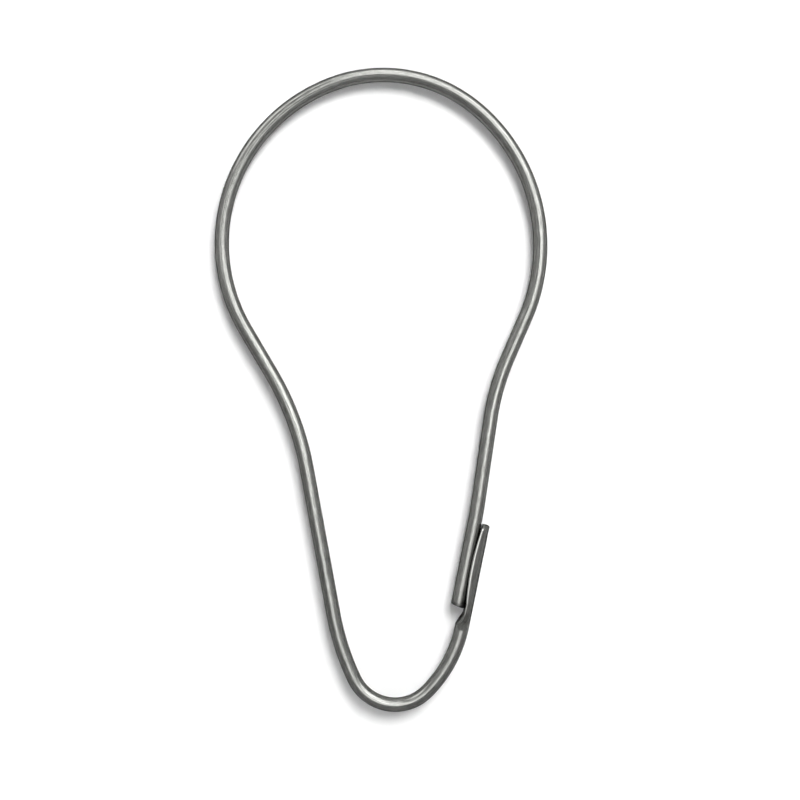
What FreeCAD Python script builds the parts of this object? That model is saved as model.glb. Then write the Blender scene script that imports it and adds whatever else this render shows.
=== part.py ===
import FreeCAD
import Part
import math
import os
from FreeCAD import Vector

# Curtain hook: one length of spring-steel wire bent to a pear. The bow hangs on the rod, the bottom bend
# carries the curtain's eyelet, and the wire's end is pressed into a catch that holds the free leg.
# Millimetres and degrees. The hook hangs in the XZ plane, +Z up, and the rod runs along Y.
# The origin is the point inside the crown that bears on the rod. Bend radii are those of the wire's axis.

# Wire and overall size
wire_diameter = 1.6
hook_length = 72.0

# Bow: three arcs in a row, the crown between two flatter sides. Angles are counted from +X towards +Z.
crown_radius = 16.3
crown_start_angle = 49.0
crown_end_angle = 111.0
bow_right_radius = 20.0
bow_left_radius = 19.0

# Right side, from the bow down to the free end. A lean is the angle to the vertical.
right_shoulder_lean = 23.5
right_shoulder_length = 4.9
right_neck_radius = 27.0
free_leg_lean = 8.4
set_radius = 60.0
free_end_lean = 11.5
free_end_length = 9.0
free_end_height = 11.85
shear_angle = 10.0
edge_break = 0.1

# Left side, from the bow down to the bottom bend
left_shoulder_lean = 30.5
left_shoulder_length = 5.7
left_neck_radius = 32.5
left_leg_lean = 10.4
entry_radius = 29.0
entry_turn = 15.0
exit_turn = 33.7

# Catch: the wire's end, pressed to a leaf with a groove in which the free leg lies.
# Heights of the lip are from the groove's bottom, towards the ring.
seat_clearance = 0.06
groove_wall = 0.87
rim_width = 0.49
end_gap = 0.15
stem_length = 0.2
ramp_length = 1.25
neck_length = 0.7
neck_thickness = 0.97
leaf_length = 9.55
lip_start = 0.45
lip_start_height = 0.06
lip_middle_height = 0.36
lip_end_height = -0.06
tip_drop = 0.55
tip_bulge = 0.15
nose_margin = 0.25

# Sizes that follow
wire_radius = wire_diameter / 2.0
groove_radius = wire_radius + seat_clearance
leaf_radius = groove_radius + rim_width
outer_side = groove_radius + groove_wall
shear_rise = wire_radius * math.tan(math.radians(shear_angle))
stem_height = -neck_length - ramp_length
foot_height = stem_height - stem_length
stem_out = outer_side - wire_radius
across = Vector(0.0, 1.0, 0.0)
upward = Vector(0.0, 0.0, 1.0)


def heading_vector(heading):
    """Unit vector in the hook's plane, at an angle counted from +X towards +Z."""
    angle = math.radians(heading)
    return Vector(math.cos(angle), 0.0, math.sin(angle))


def bend_shift(heading, turn):
    """How far a bend of unit radius moves the wire's axis. A positive turn is to the left."""
    side = math.copysign(1.0, turn)
    return (heading_vector(heading + turn - 90.0) - heading_vector(heading - 90.0)) * side


class BentWire:
    """Round wire laid as straight runs and tangent bends, each starting where the last one ends."""

    def __init__(self, start, heading):
        self.end = start
        self.heading = heading
        self.stretches = []

    def run(self, length):
        direction = heading_vector(self.heading)
        self.stretches.append(Part.makeCylinder(wire_radius, length, self.end, direction))
        self.end += direction * length

    def bend(self, radius, turn):
        section = Part.makeCircle(wire_radius, self.end, heading_vector(self.heading))
        side = math.copysign(1.0, turn)
        centre = self.end + heading_vector(self.heading + 90.0) * (radius * side)
        self.stretches.append(Part.Face(Part.Wire(section)).revolve(centre, across * -side, abs(turn)))
        self.end += bend_shift(self.heading, turn) * radius
        self.heading += turn


def crown_start():
    """Point of the axis where the crown meets the bow's right side."""
    crown_centre = Vector(0.0, 0.0, wire_radius - crown_radius)
    return crown_centre + heading_vector(crown_start_angle) * crown_radius


def free_side():
    """Wire from the crown's right end down to the free end, before the shear."""
    wire = BentWire(crown_start(), crown_start_angle - 90.0)
    wire.bend(bow_right_radius, -crown_start_angle - right_shoulder_lean)
    wire.run(right_shoulder_length)
    wire.bend(right_neck_radius, right_shoulder_lean - free_leg_lean)
    # The leg is as long as brings the free end to its height above the bottom.
    set_turn = free_leg_lean - free_end_lean
    below_leg = bend_shift(wire.heading, set_turn) * set_radius
    below_leg += heading_vector(wire.heading + set_turn) * free_end_length
    free_end_z = wire_diameter - hook_length + free_end_height
    leg_drop = wire.end.z + below_leg.z - free_end_z
    wire.run(leg_drop / -heading_vector(wire.heading).z)
    wire.bend(set_radius, set_turn)
    wire.run(free_end_length + shear_rise)
    return wire


def solve_three(columns, target):
    """Three factors that add the three columns up to the target."""
    first, second, third = columns
    volume = first.dot(second.cross(third))
    return (
        target.dot(second.cross(third)) / volume,
        first.dot(target.cross(third)) / volume,
        first.dot(second.cross(target)) / volume,
    )


def catch_side(catch_foot):
    """Wire from the crown's right end over the bow and round the bottom bend to the foot of the catch."""
    wire = BentWire(crown_start(), crown_start_angle + 90.0)
    wire.bend(crown_radius, crown_end_angle - crown_start_angle)
    wire.bend(bow_left_radius, 180.0 + left_shoulder_lean - crown_end_angle)
    wire.run(left_shoulder_length)
    wire.bend(left_neck_radius, left_leg_lean - left_shoulder_lean)
    # The leg's length and the bottom's two tighter bends follow: the axis ends at the catch's foot,
    # and the lowest point of the bottom bend is at the hook's full length.
    entry_heading = wire.heading + entry_turn
    exit_heading = 450.0 - free_end_lean - exit_turn
    leg = heading_vector(wire.heading)
    entry = bend_shift(wire.heading, entry_turn) * entry_radius
    bottom = bend_shift(entry_heading, exit_heading - entry_heading)
    to_lowest = bend_shift(entry_heading, 360.0 - entry_heading)
    way_out = bend_shift(exit_heading, exit_turn)
    gap = catch_foot - wire.end - entry
    lowest_z = wire_diameter + wire_radius - hook_length
    leg_length, bottom_radius, exit_radius = solve_three(
        (
            Vector(leg.x, leg.z, leg.z),
            Vector(bottom.x, to_lowest.z, bottom.z),
            Vector(way_out.x, 0.0, way_out.z),
        ),
        Vector(gap.x, lowest_z - wire.end.z - entry.z, gap.z),
    )
    wire.run(leg_length)
    wire.bend(entry_radius, entry_turn)
    wire.bend(bottom_radius, exit_heading - entry_heading)
    wire.bend(exit_radius, exit_turn)
    return wire


def shear_waste():
    """What the shear takes off. The cut slants, and its corner inside the ring is the higher one."""
    corner = Vector(-wire_diameter, -wire_diameter, -wire_radius)
    waste = Part.makeBox(2.0 * wire_diameter, 2.0 * wire_diameter, wire_radius, corner)
    waste.rotate(Vector(), across, shear_angle)
    return waste


# The catch is drawn about the free end: Z up along the leg, X out of the ring and Y across it.

def side_point(out, up):
    return Vector(out, 0.0, up)


def polyline(points):
    """Straight edges from each point to the next."""
    return [Part.LineSegment(first, second).toShape() for first, second in zip(points, points[1:])]


def slab(edges, direction, reach):
    """Plate of a closed outline, reaching equally far to both sides of the outline's plane."""
    face = Part.Face(Part.Wire(edges))
    face.translate(direction * -reach)
    return face.extrude(direction * (2.0 * reach))


def catch_blank():
    """The wire's end swelling from its round section to the leaf's half-round bar."""
    leaf_foot = side_point(outer_side - leaf_radius, -neck_length)
    sections = [
        Part.Wire(Part.makeCircle(wire_radius, side_point(stem_out, foot_height), upward)),
        Part.Wire(Part.makeCircle(leaf_radius, leaf_foot, upward)),
    ]
    swell = Part.makeLoft(sections, True, True)
    bar = Part.makeCylinder(leaf_radius, neck_length + leaf_length, leaf_foot, upward)
    return swell.fuse(bar)


def pressed_profile():
    """Side of the leaf seen along Y: the ramp and neck, the curved lip and the slanting tip."""
    beyond = outer_side + leaf_radius
    below = stem_height - wire_diameter
    tip_foot = leaf_length - tip_drop
    lip_end = groove_radius - lip_end_height
    ramp_slope = (wire_diameter - neck_thickness) / ramp_length
    ramp_foot = side_point(outer_side - wire_diameter * (1.0 + ramp_slope), below)
    neck = side_point(outer_side - neck_thickness, -neck_length)
    lip = [
        side_point(groove_radius - lip_start_height, lip_start),
        side_point(groove_radius - lip_middle_height, (lip_start + leaf_length) / 2.0),
        side_point(lip_end, leaf_length),
    ]
    tip_middle = side_point(
        (outer_side + lip_end + 3.0 * tip_bulge) / 2.0,
        (leaf_length + tip_foot) / 2.0 + tip_bulge,
    )
    tip_end = side_point(outer_side + tip_bulge, tip_foot)
    edges = polyline([ramp_foot, neck, lip[0]])
    edges.append(Part.Arc(*lip).toShape())
    edges.append(Part.Arc(lip[2], tip_middle, tip_end).toShape())
    edges += polyline([tip_end, side_point(beyond, tip_foot), side_point(beyond, below), ramp_foot])
    return slab(edges, across, 2.0 * leaf_radius)


def nose_outline():
    """Leaf seen along X: straight sides clear of the bar, and a round nose."""
    half_width = leaf_radius + nose_margin
    below = stem_height - wire_diameter
    sides = [
        Vector(0.0, half_width, leaf_length - half_width),
        Vector(0.0, half_width, below),
        Vector(0.0, -half_width, below),
        Vector(0.0, -half_width, leaf_length - half_width),
    ]
    nose = Part.Arc(sides[3], side_point(0.0, leaf_length), sides[0]).toShape()
    return slab(polyline(sides) + [nose], Vector(1.0, 0.0, 0.0), outer_side + leaf_radius)


def catch():
    """The pressed leaf with the groove in which the free leg lies."""
    leaf = catch_blank().common(pressed_profile()).common(nose_outline())
    groove_foot = -shear_rise - end_gap
    groove_length = leaf_length + wire_diameter - groove_foot
    groove = Part.makeCylinder(groove_radius, groove_length, side_point(0.0, groove_foot), upward)
    return leaf.cut(groove)


def placed(shape, placement):
    shape.Placement = placement.multiply(shape.Placement)
    return shape


def main():
    os.makedirs("parts", exist_ok=True)
    free_wire = free_side()
    free_end = free_wire.end - heading_vector(free_wire.heading) * shear_rise
    at_free_end = FreeCAD.Placement(free_end, FreeCAD.Rotation(across, free_end_lean))
    catch_wire = catch_side(at_free_end.multVec(side_point(stem_out, foot_height)))

    stretches = free_wire.stretches + catch_wire.stretches
    wire = stretches[0].fuse(stretches[1:]).cut(placed(shear_waste(), at_free_end))
    cut_face = min(wire.Faces, key=lambda face: face.distToShape(Part.Vertex(free_end))[0])
    wire = wire.makeChamfer(edge_break, cut_face.Edges)

    hook = wire.fuse(placed(catch(), at_free_end)).removeSplitter()
    hook.Solids[0].exportStep("parts/wire_hook.step")


main()
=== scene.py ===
import math
from collections import namedtuple

import bmesh
import bpy
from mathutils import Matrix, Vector


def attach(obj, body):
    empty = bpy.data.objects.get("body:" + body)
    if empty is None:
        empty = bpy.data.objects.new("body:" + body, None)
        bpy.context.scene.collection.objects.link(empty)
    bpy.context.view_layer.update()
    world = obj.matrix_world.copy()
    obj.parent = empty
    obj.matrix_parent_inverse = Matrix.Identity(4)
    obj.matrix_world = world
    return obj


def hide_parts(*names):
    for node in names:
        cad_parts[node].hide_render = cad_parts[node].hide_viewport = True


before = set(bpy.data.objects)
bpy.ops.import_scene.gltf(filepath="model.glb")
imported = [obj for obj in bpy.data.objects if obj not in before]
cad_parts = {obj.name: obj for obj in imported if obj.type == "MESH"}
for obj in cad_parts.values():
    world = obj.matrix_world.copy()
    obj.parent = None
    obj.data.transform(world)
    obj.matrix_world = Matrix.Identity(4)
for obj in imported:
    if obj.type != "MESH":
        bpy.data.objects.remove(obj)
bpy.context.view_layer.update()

MM = 0.001
ACROSS = Vector((0.0, 1.0, 0.0))

# The wire's path in millimetres and degrees, from the free end up the right leg, over the bow, down the
# left leg and round the bottom bend to the catch. A run gives its length, a bend its radius and its turn.
WIRE_RADIUS = 0.79
FREE_END = Vector((8.3333, 0.0, -58.55))
FREE_END_LEAN = 11.5
WIRE_PATH = (
    ("run", 9.0),
    ("bend", 60.0, 3.1),
    ("run", 9.0477),
    ("bend", 27.0, -15.1),
    ("run", 4.9),
    ("bend", 20.0, 72.5),
    ("bend", 16.3, 62.0),
    ("bend", 19.0, 99.5),
    ("run", 5.7),
    ("bend", 32.5, -20.1),
    ("run", 16.5859),
    ("bend", 29.0, 15.0),
    ("bend", 5.0418, 109.4),
    ("bend", 14.2953, 33.7),
)

# The slanting cut of the free end and its broken edge: shares of the wire's radius, and lifts along the wire.
# The cut is drawn dark, for its burr and as painted shade; above it, the shear's mark and painted shade fade
# out.
SHEAR_ANGLE = 10.0
CUT_RINGS = ((0.80, 0.0), (0.86, 0.0), (0.90, 0.012), (0.95, 0.04), (0.985, 0.075), (1.0, 0.13), (1.0, 0.22))
FIRST_RING = 0.4
SHEAR_MARK_AND_SHADE = 0.5
SHEAR_MARK_AND_SHADE_FADE = 1.5

# The catch, about the free end: up along the leg, out of the ring, and across its plane. Points of the lip
# are (out, up).
GROOVE_RADIUS = 0.86
LEAF_RADIUS = 1.35
OUTER_SIDE = 1.72
FOOT_HEIGHT = -2.15
STEM_HEIGHT = -1.95
NECK_HEIGHT = -0.7
NECK_OUT = 0.76
GROOVE_FOOT = -0.29
LIP_START = (0.80, 0.45)
LIP_MIDDLE = (0.50, 5.0)
LIP_END = (0.92, 9.55)
TIP_HEIGHT = 9.55
TIP_START = 9.0
TIP_OUT = 1.3
TIP_BULGE = 0.15
NOSE_RADIUS = 1.6
RIM_ROUNDING = 0.26
RIM_ROUNDING_SHARE = 0.4

# Heights of the catch's rings: ramp, neck and groove's foot, leaf, tip
CATCH_HEIGHTS = [STEM_HEIGHT + 0.1 * number for number in range(13)]
CATCH_HEIGHTS += [NECK_HEIGHT + 0.08, -0.5, -0.4, GROOVE_FOOT + 0.01, -0.15, 0.0, 0.15, 0.3, 0.45]
CATCH_HEIGHTS += [0.7 + 0.3 * number for number in range(27)]
CATCH_HEIGHTS += [8.7, 8.85, 9.0, 9.1, 9.2, 9.28, 9.35, 9.41, 9.46, 9.5, 9.53, 9.545]

# How much darker and rougher the pressed end is drawn, on the ramp, at the neck and on the leaf
NECK_WORKED = 0.5
LEAF_WORKED = 0.1
RAMP_RISE = 0.5
NECK_FADE = 2.0

# Painted light on the catch: a painted highlight on its rim, and painted light in its groove that lifts the
# shade there
GROOVE_PAINTED_LIGHT = 1.0
RIM_PAINTED_HIGHLIGHT = 0.2

# How finely the skin is drawn
RING_POINTS = 64
RING_STEP = 0.5
HALF = RING_POINTS // 2
BAR_POINTS = HALF // 2
RIM_POINTS = 6
GROOVE_POINTS = 8
TOUCHING = 0.001

# Steel
LINE_DARK = (0.09, 0.091, 0.086, 1.0)
LINE_LIGHT = (0.207, 0.208, 0.199, 1.0)
# Darker tone of the pressed end, which also paints shade at the cut
PRESSED_AND_SHADE_DARK = (0.028, 0.028, 0.026, 1.0)
PRESSED_AND_SHADE_LIGHT = (0.12, 0.12, 0.116, 1.0)
# Painted highlight on the catch's rim and painted light in its groove
PAINTED_LIGHT_TONE = (0.58, 0.58, 0.56, 1.0)
EDGE_TINT = (0.1, 0.1, 0.1, 1.0)
LINE_STRETCH = (1.0, 1.0, 0.1)
LINE_SCALE = 8.0
LINE_DETAIL = 5.0
LINE_COARSENESS = 0.65
BLOTCH_SCALE = 900.0
BLOTCH_DETAIL = 3.0
LINE_RANGE = (0.3, 0.7)
BLOTCH_RANGE = (0.35, 0.75)
ROUGHNESS_RANGE = (0.16, 0.24)
WORKED_ROUGHNESS = 0.16
LINE_RELIEF = 0.1
LINE_DEPTH = 0.00002

# Floor and sheet, in metres. The sheet leans a little, nearest to the hook at the crown.
FLOOR_Z = -0.086
FLOOR_HALF = 0.8
FLOOR_GREY = 0.6
FLOOR_GLOW = 0.02
FLOOR_FADE = (0.12, 0.4)
SHEET_HALF = 0.4
SHEET_TOP = 0.3
SHEET_FOOT_Y = 0.0022
SHEET_TOP_Y = -0.00184
SHEET_WHITE = 0.97
SHEET_GLOW = 0.05

# Lamps: each faces a point from degrees to the right of the view and above it, in metres. The cards are only
# mirrored in the steel and the main softbox only lights the papers. A spread narrows where a card shines.
Lamp = namedtuple("Lamp", "name faces right up distance width height radiance spread lights")
MIDDLE = (0.0019, 0.0, -0.0355)
LEGS = (0.006, 0.0, -0.0615)
CROWN = (0.0, 0.0, 0.0008)
RIGHT_BOW = (0.015, 0.0, -0.025)
LEFT_BOW = (-0.018, 0.0, -0.014)
LAMPS = (
    Lamp("main_softbox", MIDDLE, 16.5, 30.5, 0.5, 0.22, 0.26, 15.0, 180.0, "papers"),
    Lamp("main_card", MIDDLE, 15.0, 31.0, 0.45, 0.324, 0.414, 4.1, 180.0, "steel"),
    Lamp("low_card", LEGS, 2.0, 0.0, 0.07, 0.09, 0.053, 0.52, 70.0, "steel"),
    Lamp("rear_softbox", MIDDLE, 160.0, 22.0, 0.5, 0.36, 0.5, 4.5, 180.0, "both"),
    Lamp("crown_card", CROWN, 0.0, 62.0, 0.04, 0.08, 0.018, 0.45, 60.0, "steel"),
    Lamp("right_card", MIDDLE, 46.0, 31.0, 0.5, 0.2, 0.34, 4.6, 180.0, "steel"),
    Lamp("bow_card", RIGHT_BOW, 20.0, 0.0, 0.07, 0.06, 0.034, 0.5, 70.0, "steel"),
    Lamp("left_card", MIDDLE, -52.0, 42.0, 0.5, 0.26, 0.24, 3.2, 180.0, "steel"),
    Lamp("left_bow_card", LEFT_BOW, -22.0, 8.0, 0.07, 0.03, 0.03, 0.16, 50.0, "steel"),
)
ROOM_LIT = (0.12, 0.12, 0.12, 1.0)
ROOM_SEEN = (1.0, 1.0, 1.0, 1.0)

# Camera, in metres. The width is what the picture shows in the hook's plane.
VIEW_CENTRE = (0.001886, -0.03554)
VIEW_DISTANCE = 0.15
VIEW_WIDTH = 0.08944
SENSOR_WIDTH = 36.0
CLIP_START = 0.005


def heading_vector(heading):
    """Unit vector in the hook's plane, at an angle counted from +X towards +Z."""
    angle = math.radians(heading)
    return Vector((math.cos(angle), 0.0, math.sin(angle)))


LEG_UP = heading_vector(90.0 - FREE_END_LEAN)
LEG_OUT = heading_vector(-FREE_END_LEAN)


def between(first, second, share):
    return first + (second - first) * share


def point_between(first, second, share):
    return between(first[0], second[0], share), between(first[1], second[1], share)


class WireSkin:
    """The hook's skin: rings of points, each extruded from the last one along the wire."""

    def __init__(self):
        self.bm = bmesh.new()
        self.drawn = self.bm.verts.layers.float_vector.new("drawn")
        self.worked_and_shade = self.bm.verts.layers.float.new("worked_and_shade")
        self.painted_light = self.bm.verts.layers.float.new("painted_light")
        cap = bmesh.ops.create_circle(self.bm, cap_ends=True, segments=RING_POINTS, radius=WIRE_RADIUS)
        self.ring = sorted(cap["verts"], key=lambda vert: math.atan2(vert.co.y, vert.co.x) % math.tau)

    def place(self, points, along, worked_and_shade, painted_light=False):
        for number, (vert, point) in enumerate(zip(self.ring, points)):
            angle = math.tau * number / RING_POINTS
            vert.co = point * MM
            vert[self.drawn] = (math.cos(angle), math.sin(angle), along)
            from_outside = min(number, RING_POINTS - number)
            inside = from_outside > BAR_POINTS + RIM_POINTS
            on_rim = from_outside >= BAR_POINTS and not inside
            # On the catch's rim and in its groove, painted light replaces the darker pressed tone
            vert[self.worked_and_shade] = 0.0 if painted_light and (on_rim or inside) else worked_and_shade
            vert[self.painted_light] = GROOVE_PAINTED_LIGHT * inside + RIM_PAINTED_HIGHLIGHT * on_rim if painted_light else 0.0

    def ring_edges(self):
        return [self.bm.edges.get(pair) for pair in zip(self.ring, self.ring[1:] + self.ring[:1])]

    def extrude(self, points, along, worked_and_shade=0.0, painted_light=False):
        made = bmesh.ops.extrude_edge_only(self.bm, edges=self.ring_edges())["geom"]
        new = {item for item in made if isinstance(item, bmesh.types.BMVert)}
        self.ring = [
            next(edge.other_vert(vert) for edge in vert.link_edges if edge.other_vert(vert) in new)
            for vert in self.ring
        ]
        self.place(points, along, worked_and_shade, painted_light)

    def close(self):
        """Closes the tip, and puts the faces in the order of their points, which is the same in each run."""
        bmesh.ops.contextual_create(self.bm, geom=self.ring_edges())
        bmesh.ops.recalc_face_normals(self.bm, faces=self.bm.faces[:])
        self.bm.verts.index_update()
        self.bm.faces.sort(key=self.face_rank)

    def face_rank(self, face):
        points = [vert.index for vert in face.verts]
        return min(points) * len(self.bm.verts) + max(points)


def round_ring(centre, heading, radius):
    """Ring of the round wire, from its outermost point. Out of the ring is to the right of the heading."""
    out = heading_vector(heading - 90.0)
    angles = [math.tau * number / RING_POINTS for number in range(RING_POINTS)]
    return [centre + (out * math.cos(angle) + ACROSS * math.sin(angle)) * radius for angle in angles]


def catch_ring(section, up):
    """Ring of the catch: a half section of (out, across) points, mirrored, at a height along the leg."""
    origin = FREE_END + LEG_UP * up
    whole = section + [(x, -y) for x, y in section[-2:0:-1]]
    return [origin + LEG_OUT * x + ACROSS * y for x, y in whole]


def circle_through(first, second, third):
    """Centre and radius of the circle through three points of a plane."""
    (ax, ay), (bx, by), (cx, cy) = first, second, third
    scale = 2.0 * (ax * (by - cy) + bx * (cy - ay) + cx * (ay - by))
    a, b, c = ax * ax + ay * ay, bx * bx + by * by, cx * cx + cy * cy
    x = (a * (by - cy) + b * (cy - ay) + c * (ay - by)) / scale
    y = (a * (cx - bx) + b * (ax - cx) + c * (bx - ax)) / scale
    return x, y, math.hypot(ax - x, ay - y)


def pressed_out(up):
    """How far out the pressed inner side lies at a height: ramp, neck and curved lip."""
    if up < NECK_HEIGHT:
        slope = (NECK_OUT - OUTER_SIDE + 2.0 * WIRE_RADIUS) / (NECK_HEIGHT - STEM_HEIGHT)
        return NECK_OUT + slope * (up - NECK_HEIGHT)
    if up < LIP_START[1]:
        return between(NECK_OUT, LIP_START[0], (up - NECK_HEIGHT) / (LIP_START[1] - NECK_HEIGHT))
    x, y, radius = circle_through(LIP_START, LIP_MIDDLE, LIP_END)
    return x - math.sqrt(radius * radius - (up - y) ** 2)


def along_polyline(points, share):
    """Point at a share of a polyline's length."""
    lengths = [math.dist(first, second) for first, second in zip(points, points[1:])]
    rest = share * sum(lengths)
    for first, second, length in zip(points, points[1:], lengths):
        if rest < length:
            return point_between(first, second, rest / length)
        rest -= length
    return points[-1]


def bar_arc(centre, radius, last_angle, count):
    """Points of the bar's round outside, from its outermost point to an angle."""
    angles = [last_angle * number / count for number in range(count + 1)]
    return [(centre + radius * math.cos(angle), radius * math.sin(angle)) for angle in angles]


def catch_section(up):
    """Half section of the catch: the bar's round outside, the rounded rim, the lip and the groove."""
    swell = min(max((up - FOOT_HEIGHT) / (NECK_HEIGHT - FOOT_HEIGHT), 0.0), 1.0)
    radius = between(WIRE_RADIUS, LEAF_RADIUS, swell)
    centre = OUTER_SIDE - radius
    flat = pressed_out(up)
    if flat <= centre - radius + TOUCHING:
        return bar_arc(centre, radius, math.pi, HALF)
    rim_angle = math.acos((flat - centre) / radius)
    rim = (flat, radius * math.sin(rim_angle))
    rounding = min(RIM_ROUNDING, RIM_ROUNDING_SHARE * rim[1])
    section = bar_arc(centre, radius, rim_angle - rounding / radius, BAR_POINTS)
    start, finish = section[-1], (flat, rim[1] - rounding)
    for number in range(1, RIM_POINTS + 1):
        share = number / RIM_POINTS
        outer, inner = point_between(start, rim, share), point_between(rim, finish, share)
        section.append(point_between(outer, inner, share))
    inside = [finish]
    if up > GROOVE_FOOT and flat < GROOVE_RADIUS:
        groove_angle = math.acos(flat / GROOVE_RADIUS)
        for number in range(GROOVE_POINTS + 1):
            angle = groove_angle * (1.0 - number / GROOVE_POINTS)
            inside.append((GROOVE_RADIUS * math.cos(angle), GROOVE_RADIUS * math.sin(angle)))
    else:
        inside.append((flat, 0.0))
    left = HALF - BAR_POINTS - RIM_POINTS
    section += [along_polyline(inside, number / left) for number in range(1, left + 1)]
    return tapered(section, flat, up)


def tapered(section, flat, up):
    """The section drawn in towards the round nose at the leaf's tip."""
    nose_foot = TIP_HEIGHT - NOSE_RADIUS
    narrow = 1.0
    if up > nose_foot:
        half_width = math.sqrt(max(NOSE_RADIUS ** 2 - (up - nose_foot) ** 2, 0.0))
        narrow = min(1.0, half_width / max(y for x, y in section))
    shallow = 1.0
    if up > TIP_START:
        share = (up - TIP_START) / (TIP_HEIGHT - TIP_START)
        outer = between(TIP_OUT, OUTER_SIDE + TIP_BULGE, math.sqrt(max(1.0 - share * share, 0.0)))
        shallow = min(1.0, (outer - flat) / (OUTER_SIDE - flat))
    return [(flat + (x - flat) * shallow, y * narrow) for x, y in section]


def sheared_end(skin):
    """The slanting cut of the free end and its broken edge."""
    slope = math.tan(math.radians(SHEAR_ANGLE))
    for number, (share, lift) in enumerate(CUT_RINGS):
        points = round_ring(FREE_END, 90.0 - FREE_END_LEAN, WIRE_RADIUS * share)
        points = [point + LEG_UP * (lift - (point - FREE_END).dot(LEG_OUT) * slope) for point in points]
        # The cut is drawn in the darker pressed tone, for its burr and as painted shade
        if number:
            skin.extrude(points, lift, 1.0)
        else:
            skin.place(points, 0.0, 1.0)


def draw_wire(skin):
    """Extrudes the rings along the runs and bends, and returns the length drawn."""
    sheared_end(skin)
    centre = FREE_END
    heading = 90.0 - FREE_END_LEAN
    length = 0.0
    for kind, size, *turn in WIRE_PATH:
        if kind == "run":
            steps = max(1, round(size / RING_STEP))
            for number in range(1, steps + 1):
                along = length + size * number / steps
                if along < FIRST_RING:
                    continue
                point = centre + heading_vector(heading) * (size * number / steps)
                # The shear's mark and its painted shade darken the wire just above the cut
                worked_and_shade = max(0.0, SHEAR_MARK_AND_SHADE - along / SHEAR_MARK_AND_SHADE_FADE)
                skin.extrude(round_ring(point, heading, WIRE_RADIUS), along, worked_and_shade)
            centre = centre + heading_vector(heading) * size
            length += size
        else:
            side = math.copysign(1.0, turn[0])
            pivot = centre + heading_vector(heading + 90.0 * side) * size
            arc = size * math.radians(abs(turn[0]))
            steps = max(1, round(arc / RING_STEP))
            for number in range(1, steps + 1):
                turned = heading + turn[0] * number / steps
                point = pivot + heading_vector(turned - 90.0 * side) * size
                skin.extrude(round_ring(point, turned, WIRE_RADIUS), length + arc * number / steps)
            centre = pivot + heading_vector(heading + turn[0] - 90.0 * side) * size
            heading += turn[0]
            length += arc
    return length


def draw_catch(skin, length):
    """Extrudes the pressed end from the wire's last ring up to the leaf's tip."""
    for up in CATCH_HEIGHTS:
        if up < NECK_HEIGHT:
            worked_and_shade = NECK_WORKED * min(1.0, (up - STEM_HEIGHT) / RAMP_RISE)
        else:
            worked_and_shade = max(LEAF_WORKED, NECK_WORKED - (up - NECK_HEIGHT) / NECK_FADE)
        ring = catch_ring(catch_section(up), up)
        # Above the lip's start, the rim gets a painted highlight and the groove painted light
        skin.extrude(ring, length + up - FOOT_HEIGHT, worked_and_shade, painted_light=up > LIP_START[1])


def new_object(name, bm):
    """Object of a finished bmesh, at the origin."""
    mesh = bpy.data.meshes.new(name)
    bm.to_mesh(mesh)
    bm.free()
    piece = bpy.data.objects.new(name, mesh)
    bpy.context.scene.collection.objects.link(piece)
    return piece


def build_hook():
    """The whole hook as one skin of drawn steel."""
    skin = WireSkin()
    length = draw_wire(skin)
    draw_catch(skin, length)
    skin.close()
    hook = new_object("spring_wire_hook", skin.bm)
    hook.data.shade_smooth()
    hook.data.materials.append(drawn_steel())
    return hook


def new_material(name):
    material = bpy.data.materials.new(name)
    material.use_nodes = True
    nodes = material.node_tree.nodes
    nodes.clear()
    return material, nodes, material.node_tree.links


def tone_ramp(nodes, span, dark, light):
    ramp = nodes.new("ShaderNodeValToRGB")
    for element, position, colour in zip(ramp.color_ramp.elements, span, (dark, light)):
        element.position = position
        element.color = colour
    return ramp


def named_attribute(nodes, name):
    attribute = nodes.new("ShaderNodeAttribute")
    attribute.attribute_name = name
    return attribute


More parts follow.
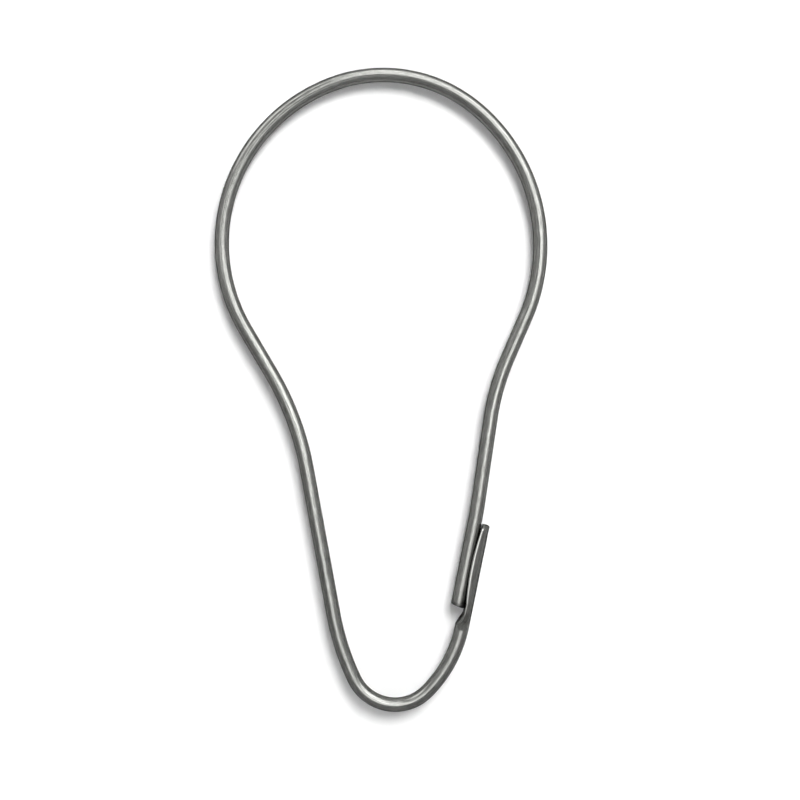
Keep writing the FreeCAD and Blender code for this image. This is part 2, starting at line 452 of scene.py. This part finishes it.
def drawn_steel():
    """Drawn spring steel: fine lines along the wire, darker and rougher where the end is pressed, with
    painted shade at the cut and painted light on the catch's rim and groove.
    """
    material, nodes, links = new_material("drawn_spring_steel")
    output = nodes.new("ShaderNodeOutputMaterial")
    steel = nodes.new("ShaderNodeBsdfPrincipled")
    steel.inputs["Metallic"].default_value = 1.0
    steel.inputs["Specular Tint"].default_value = EDGE_TINT
    links.new(steel.outputs["BSDF"], output.inputs["Surface"])

    lay = named_attribute(nodes, "drawn")
    stretch = nodes.new("ShaderNodeMapping")
    stretch.inputs["Scale"].default_value = LINE_STRETCH
    links.new(lay.outputs["Vector"], stretch.inputs["Vector"])
    lines = nodes.new("ShaderNodeTexNoise")
    lines.inputs["Scale"].default_value = LINE_SCALE
    lines.inputs["Detail"].default_value = LINE_DETAIL
    lines.inputs["Roughness"].default_value = LINE_COARSENESS
    links.new(stretch.outputs["Vector"], lines.inputs["Vector"])

    place = nodes.new("ShaderNodeTexCoord")
    blotches = nodes.new("ShaderNodeTexNoise")
    blotches.inputs["Scale"].default_value = BLOTCH_SCALE
    blotches.inputs["Detail"].default_value = BLOTCH_DETAIL
    links.new(place.outputs["Object"], blotches.inputs["Vector"])

    # Darker tone where the end is pressed, which also paints shade at the cut
    worked_and_shade = named_attribute(nodes, "worked_and_shade")
    line_tone = tone_ramp(nodes, LINE_RANGE, LINE_DARK, LINE_LIGHT)
    links.new(lines.outputs["Fac"], line_tone.inputs["Fac"])
    pressed_and_shade_tone = tone_ramp(nodes, BLOTCH_RANGE, PRESSED_AND_SHADE_DARK, PRESSED_AND_SHADE_LIGHT)
    links.new(blotches.outputs["Fac"], pressed_and_shade_tone.inputs["Fac"])
    tone = nodes.new("ShaderNodeMix")
    tone.data_type = "RGBA"
    links.new(worked_and_shade.outputs["Fac"], tone.inputs["Factor"])
    links.new(line_tone.outputs["Color"], tone.inputs["A"])
    links.new(pressed_and_shade_tone.outputs["Color"], tone.inputs["B"])

    # Painted highlight on the catch's rim and painted light in its groove
    painted_light = named_attribute(nodes, "painted_light")
    painted_light_mix = nodes.new("ShaderNodeMix")
    painted_light_mix.data_type = "RGBA"
    painted_light_mix.inputs["B"].default_value = PAINTED_LIGHT_TONE
    links.new(painted_light.outputs["Fac"], painted_light_mix.inputs["Factor"])
    links.new(tone.outputs["Result"], painted_light_mix.inputs["A"])
    links.new(painted_light_mix.outputs["Result"], steel.inputs["Base Color"])

    gloss = nodes.new("ShaderNodeMapRange")
    gloss.inputs["From Min"].default_value, gloss.inputs["From Max"].default_value = LINE_RANGE
    gloss.inputs["To Min"].default_value, gloss.inputs["To Max"].default_value = ROUGHNESS_RANGE
    links.new(lines.outputs["Fac"], gloss.inputs["Value"])
    dull = nodes.new("ShaderNodeMath")
    dull.operation = "MULTIPLY_ADD"
    dull.inputs[1].default_value = WORKED_ROUGHNESS
    links.new(worked_and_shade.outputs["Fac"], dull.inputs[0])
    links.new(gloss.outputs["Result"], dull.inputs[2])
    links.new(dull.outputs["Value"], steel.inputs["Roughness"])

    relief = nodes.new("ShaderNodeBump")
    relief.inputs["Strength"].default_value = LINE_RELIEF
    relief.inputs["Distance"].default_value = LINE_DEPTH
    links.new(lines.outputs["Fac"], relief.inputs["Height"])
    links.new(relief.outputs["Normal"], steel.inputs["Normal"])
    return material


def paper(name, white, glow):
    """Matt paper, a little whiter to the camera, mixed with clear air by a factor that is linked later."""
    material, nodes, links = new_material(name)
    output = nodes.new("ShaderNodeOutputMaterial")
    matt = nodes.new("ShaderNodeBsdfDiffuse")
    matt.inputs["Color"].default_value = (white, white, white, 1.0)
    path = nodes.new("ShaderNodeLightPath")
    lift = nodes.new("ShaderNodeMath")
    lift.operation = "MULTIPLY"
    lift.inputs[1].default_value = glow
    shine = nodes.new("ShaderNodeEmission")
    both = nodes.new("ShaderNodeAddShader")
    clear = nodes.new("ShaderNodeBsdfTransparent")
    mix = nodes.new("ShaderNodeMixShader")
    links.new(path.outputs["Is Camera Ray"], lift.inputs[0])
    links.new(lift.outputs["Value"], shine.inputs["Strength"])
    links.new(matt.outputs["BSDF"], both.inputs[0])
    links.new(shine.outputs["Emission"], both.inputs[1])
    links.new(both.outputs["Shader"], mix.inputs[1])
    links.new(clear.outputs["BSDF"], mix.inputs[2])
    links.new(mix.outputs["Shader"], output.inputs["Surface"])
    return material, nodes, links, mix


def backdrop_paper():
    """White sheet that isn't seen from behind, nor in the hook when the hook is seen from behind."""
    material, nodes, links, mix = paper("backdrop_paper", SHEET_WHITE, SHEET_GLOW)
    side = nodes.new("ShaderNodeNewGeometry")
    path = nodes.new("ShaderNodeLightPath")
    behind = nodes.new("ShaderNodeMath")
    behind.operation = "MAXIMUM"
    behind.use_clamp = True
    links.new(side.outputs["Backfacing"], behind.inputs[0])
    links.new(path.outputs["Transparent Depth"], behind.inputs[1])
    links.new(behind.outputs["Value"], mix.inputs["Fac"])
    return material


def floor_paper():
    """Pale grey floor that fades out into the white room."""
    material, nodes, links, mix = paper("floor_paper", FLOOR_GREY, FLOOR_GLOW)
    place = nodes.new("ShaderNodeTexCoord")
    away = nodes.new("ShaderNodeVectorMath")
    away.operation = "LENGTH"
    fade = nodes.new("ShaderNodeMapRange")
    fade.interpolation_type = "SMOOTHSTEP"
    fade.inputs["From Min"].default_value, fade.inputs["From Max"].default_value = FLOOR_FADE
    links.new(place.outputs["Object"], away.inputs[0])
    links.new(away.outputs["Value"], fade.inputs["Value"])
    links.new(fade.outputs["Result"], mix.inputs["Fac"])
    return material


def build_stage():
    """A pale floor below the hook, and a white sheet close behind it that takes its shadow."""
    bm = bmesh.new()
    bmesh.ops.create_grid(bm, x_segments=1, y_segments=1, size=FLOOR_HALF)
    bmesh.ops.translate(bm, verts=bm.verts[:], vec=(0.0, 0.0, FLOOR_Z))
    floor = new_object("pale_floor", bm)
    floor.data.materials.append(floor_paper())

    bm = bmesh.new()
    foot = [(x, SHEET_FOOT_Y, FLOOR_Z) for x in (-SHEET_HALF, SHEET_HALF)]
    top = [(x, SHEET_TOP_Y, SHEET_TOP) for x in (SHEET_HALF, -SHEET_HALF)]
    bm.faces.new([bm.verts.new(corner) for corner in foot + top])
    sheet = new_object("white_backdrop", bm)
    sheet.data.materials.append(backdrop_paper())


def hang_lamp(lamp):
    """Soft light at its angles to the view, as bright as its radiance says."""
    light = bpy.data.lights.new(lamp.name, "AREA")
    light.shape = "RECTANGLE"
    light.size = lamp.width
    light.size_y = lamp.height
    light.energy = lamp.radiance * math.pi * lamp.width * lamp.height
    light.spread = math.radians(lamp.spread)
    holder = bpy.data.objects.new(lamp.name, light)
    bpy.context.scene.collection.objects.link(holder)
    right, up = math.radians(lamp.right), math.radians(lamp.up)
    level = math.cos(up)
    direction = Vector((math.sin(right) * level, -math.cos(right) * level, math.sin(up)))
    holder.location = Vector(lamp.faces) + direction * lamp.distance
    holder.rotation_mode = "QUATERNION"
    holder.rotation_quaternion = direction.to_track_quat("Z", "Y")
    holder.visible_camera = False
    holder.visible_glossy = lamp.lights != "papers"
    holder.visible_diffuse = lamp.lights != "steel"


def build_room():
    """White room to the eye and in the steel, and only a faint light on the papers."""
    world = bpy.data.worlds.new("pale_room")
    world.use_nodes = True
    nodes, links = world.node_tree.nodes, world.node_tree.links
    nodes.clear()
    output = nodes.new("ShaderNodeOutputWorld")
    lit = nodes.new("ShaderNodeBackground")
    lit.inputs["Color"].default_value = ROOM_LIT
    seen = nodes.new("ShaderNodeBackground")
    seen.inputs["Color"].default_value = ROOM_SEEN
    mix = nodes.new("ShaderNodeMixShader")
    ray = nodes.new("ShaderNodeLightPath")
    either = nodes.new("ShaderNodeMath")
    either.operation = "MAXIMUM"
    any_seen = nodes.new("ShaderNodeMath")
    any_seen.operation = "MAXIMUM"
    links.new(ray.outputs["Is Camera Ray"], either.inputs[0])
    links.new(ray.outputs["Is Glossy Ray"], either.inputs[1])
    links.new(either.outputs["Value"], any_seen.inputs[0])
    links.new(ray.outputs["Is Transmission Ray"], any_seen.inputs[1])
    links.new(any_seen.outputs["Value"], mix.inputs["Fac"])
    links.new(lit.outputs["Background"], mix.inputs[1])
    links.new(seen.outputs["Background"], mix.inputs[2])
    links.new(mix.outputs["Shader"], output.inputs["Surface"])
    bpy.context.scene.world = world


def build_camera():
    """Camera straight in front of the hook."""
    lens = bpy.data.cameras.new("camera")
    lens.sensor_width = SENSOR_WIDTH
    lens.lens = SENSOR_WIDTH * VIEW_DISTANCE / VIEW_WIDTH
    lens.clip_start = CLIP_START
    camera = bpy.data.objects.new("camera", lens)
    camera.location = (VIEW_CENTRE[0], -VIEW_DISTANCE, VIEW_CENTRE[1])
    camera.rotation_euler = (math.pi / 2.0, 0.0, 0.0)
    bpy.context.scene.collection.objects.link(camera)
    bpy.context.scene.camera = camera


hook = build_hook()
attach(hook, "root")
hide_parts("wire_hook")
build_stage()
for lamp in LAMPS:
    hang_lamp(lamp)
build_room()
build_camera()
bpy.context.scene.view_settings.view_transform = "Standard"
